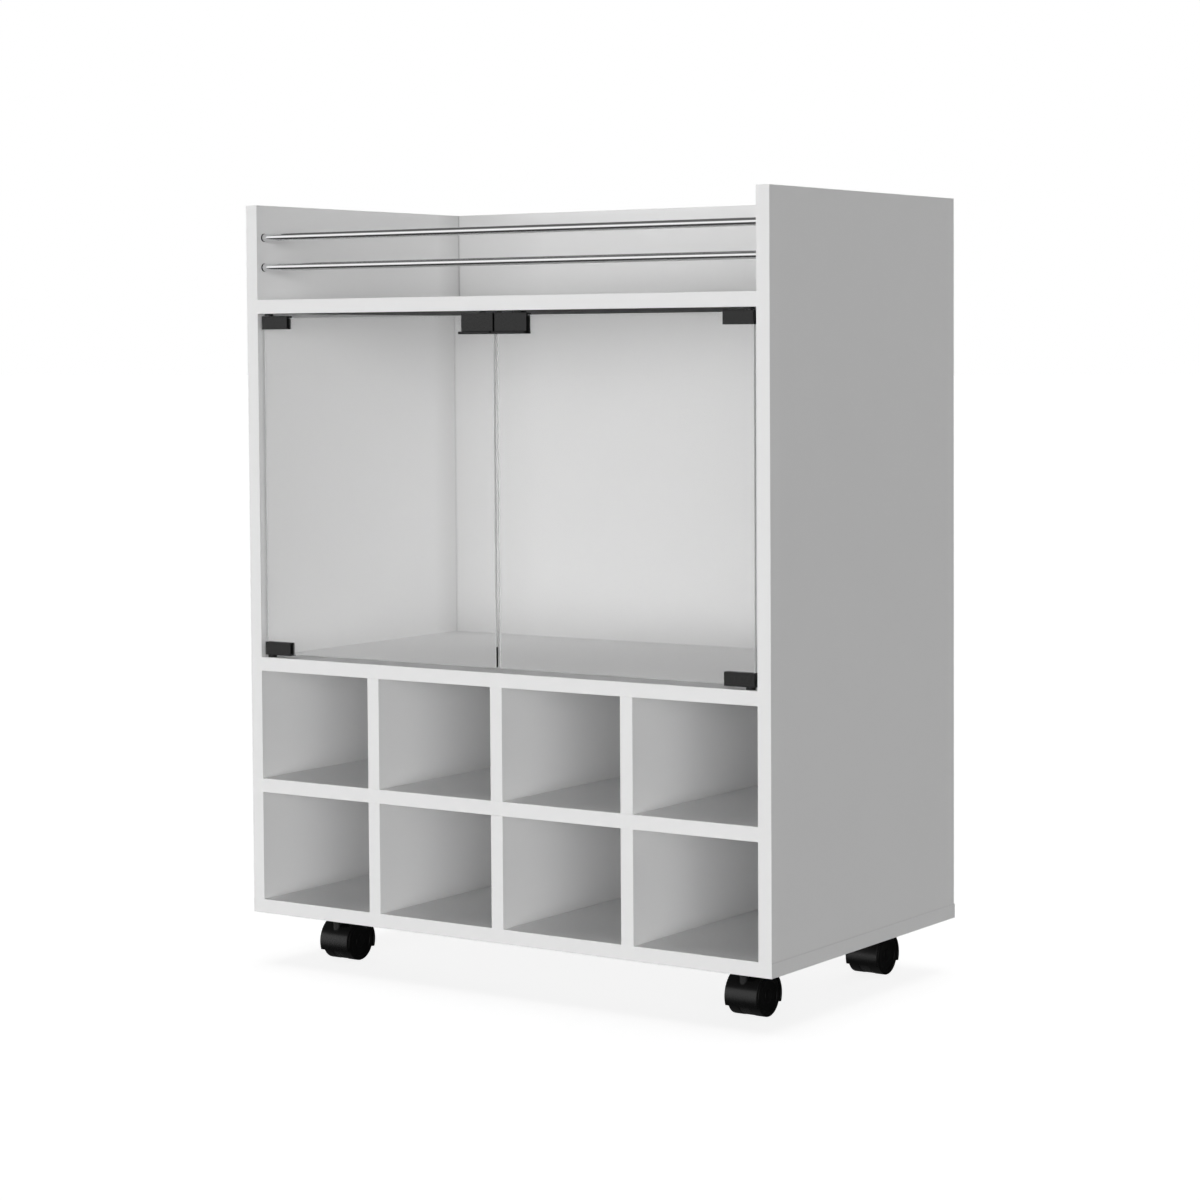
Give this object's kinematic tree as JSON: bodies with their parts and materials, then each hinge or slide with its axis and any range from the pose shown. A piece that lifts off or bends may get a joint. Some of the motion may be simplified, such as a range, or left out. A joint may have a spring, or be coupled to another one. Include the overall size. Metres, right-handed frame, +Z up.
{
  "type": "bar cart",
  "caption": "White board bar cart on twin-wheel casters, with a railed tray, a cabinet behind inset glass pivot doors, and open bottle cubbies below.",
  "frame": {"origin": "centre of the bounding box on the floor, under the middle of the cart", "axes": "+Z up, +X to the right seen from the front, +Y from the doors to the back"},
  "size_m": [0.7, 0.4066, 0.8755],
  "materials": {
    "white_board": "satin white melamine",
    "polished_rail": "polished",
    "clear_glass": "clear, ground edges",
    "black_metal": "satin black",
    "black_plastic": "satin black",
    "wheel_plastic": "satin black nylon",
    "zinc_fitting": "zinc plated",
    "beech_dowel": "bare",
    "magnet": "dull ferrite",
    "pad_rubber": "soft, matt"
  },
  "bodies": {
    "carcass": {"base_panel": "white_board", "left_side_panel": "white_board", "right_side_panel": "white_board", "top_shelf": "white_board", "cabinet_floor": "white_board", "rack_shelf": "white_board", "lower_divider_1": "white_board", "lower_divider_2": "white_board", "lower_divider_3": "white_board", "upper_divider_1": "white_board", "upper_divider_2": "white_board", "upper_divider_3": "white_board", "back_panel": "white_board", "tray_back": "white_board", "lower_rail": "polished_rail", "upper_rail": "polished_rail", "shelf_cam_locks": "zinc_fitting", "shelf_cam_bolts": "zinc_fitting", "rack_dowels": "beech_dowel", "tray_back_dowels": "beech_dowel", "base_screws": "zinc_fitting", "back_screws": "zinc_fitting", "hinge_bushes": "black_plastic", "catch_housing": "black_plastic", "catch_magnets": "magnet", "caster_plates": "zinc_fitting", "caster_kingpins": "black_metal"},
    "left_door": {"left_door_glass": "clear_glass", "left_door_top_hinge": "black_metal", "left_door_bottom_hinge": "black_metal", "left_door_hinge_pins": "zinc_fitting", "left_door_pull": "black_metal", "left_door_pressure_pads": "pad_rubber", "left_door_set_screws": "zinc_fitting"},
    "right_door": {"right_door_glass": "clear_glass", "right_door_top_hinge": "black_metal", "right_door_bottom_hinge": "black_metal", "right_door_hinge_pins": "zinc_fitting", "right_door_pull": "black_metal", "right_door_pressure_pads": "pad_rubber", "right_door_set_screws": "zinc_fitting"},
    "front_left_caster": {"front_left_caster_hood": "black_plastic", "front_left_caster_axle": "zinc_fitting"},
    "front_left_caster_left_wheel": {"front_left_caster_left_wheel": "wheel_plastic"},
    "front_left_caster_right_wheel": {"front_left_caster_right_wheel": "wheel_plastic"},
    "front_right_caster": {"front_right_caster_hood": "black_plastic", "front_right_caster_axle": "zinc_fitting"},
    "front_right_caster_left_wheel": {"front_right_caster_left_wheel": "wheel_plastic"},
    "front_right_caster_right_wheel": {"front_right_caster_right_wheel": "wheel_plastic"},
    "back_left_caster": {"back_left_caster_hood": "black_plastic", "back_left_caster_axle": "zinc_fitting"},
    "back_left_caster_left_wheel": {"back_left_caster_left_wheel": "wheel_plastic"},
    "back_left_caster_right_wheel": {"back_left_caster_right_wheel": "wheel_plastic"},
    "back_right_caster": {"back_right_caster_hood": "black_plastic", "back_right_caster_axle": "zinc_fitting"},
    "back_right_caster_left_wheel": {"back_right_caster_left_wheel": "wheel_plastic"},
    "back_right_caster_right_wheel": {"back_right_caster_right_wheel": "wheel_plastic"}
  },
  "joints": [
    {"name": "left_door_hinge", "type": "hinge", "parent": "carcass", "child": "left_door", "pos_m": [-0.3224, -0.1927, 0.5545], "axis": [0, 0, -1], "range_deg": [0, 130]},
    {"name": "right_door_hinge", "type": "hinge", "parent": "carcass", "child": "right_door", "pos_m": [0.3224, -0.1927, 0.5545], "axis": [0, 0, 1], "range_deg": [0, 130]},
    {"name": "front_left_caster_swivel", "type": "hinge", "parent": "carcass", "child": "front_left_caster", "pos_m": [-0.2775, -0.1351, 0.04], "axis": [0, 0, 1], "continuous": true},
    {"name": "front_left_caster_left_wheel_spin", "type": "hinge", "parent": "front_left_caster", "child": "front_left_caster_left_wheel", "pos_m": [-0.2909, -0.1171, 0.0221], "axis": [1, 0, 0], "continuous": true},
    {"name": "front_left_caster_right_wheel_spin", "type": "hinge", "parent": "front_left_caster", "child": "front_left_caster_right_wheel", "pos_m": [-0.2641, -0.1171, 0.0221], "axis": [1, 0, 0], "continuous": true},
    {"name": "front_right_caster_swivel", "type": "hinge", "parent": "carcass", "child": "front_right_caster", "pos_m": [0.2775, -0.1351, 0.04], "axis": [0, 0, 1], "continuous": true},
    {"name": "front_right_caster_left_wheel_spin", "type": "hinge", "parent": "front_right_caster", "child": "front_right_caster_left_wheel", "pos_m": [0.2641, -0.1171, 0.0221], "axis": [1, 0, 0], "continuous": true},
    {"name": "front_right_caster_right_wheel_spin", "type": "hinge", "parent": "front_right_caster", "child": "front_right_caster_right_wheel", "pos_m": [0.2909, -0.1171, 0.0221], "axis": [1, 0, 0], "continuous": true},
    {"name": "back_left_caster_swivel", "type": "hinge", "parent": "carcass", "child": "back_left_caster", "pos_m": [-0.2775, 0.1232, 0.04], "axis": [0, 0, 1], "continuous": true},
    {"name": "back_left_caster_left_wheel_spin", "type": "hinge", "parent": "back_left_caster", "child": "back_left_caster_left_wheel", "pos_m": [-0.2909, 0.1412, 0.0221], "axis": [1, 0, 0], "continuous": true},
    {"name": "back_left_caster_right_wheel_spin", "type": "hinge", "parent": "back_left_caster", "child": "back_left_caster_right_wheel", "pos_m": [-0.2641, 0.1412, 0.0221], "axis": [1, 0, 0], "continuous": true},
    {"name": "back_right_caster_swivel", "type": "hinge", "parent": "carcass", "child": "back_right_caster", "pos_m": [0.2775, 0.1232, 0.04], "axis": [0, 0, 1], "continuous": true},
    {"name": "back_right_caster_left_wheel_spin", "type": "hinge", "parent": "back_right_caster", "child": "back_right_caster_left_wheel", "pos_m": [0.2641, 0.1412, 0.0221], "axis": [1, 0, 0], "continuous": true},
    {"name": "back_right_caster_right_wheel_spin", "type": "hinge", "parent": "back_right_caster", "child": "back_right_caster_right_wheel", "pos_m": [0.2909, 0.1412, 0.0221], "axis": [1, 0, 0], "continuous": true}
  ]
}
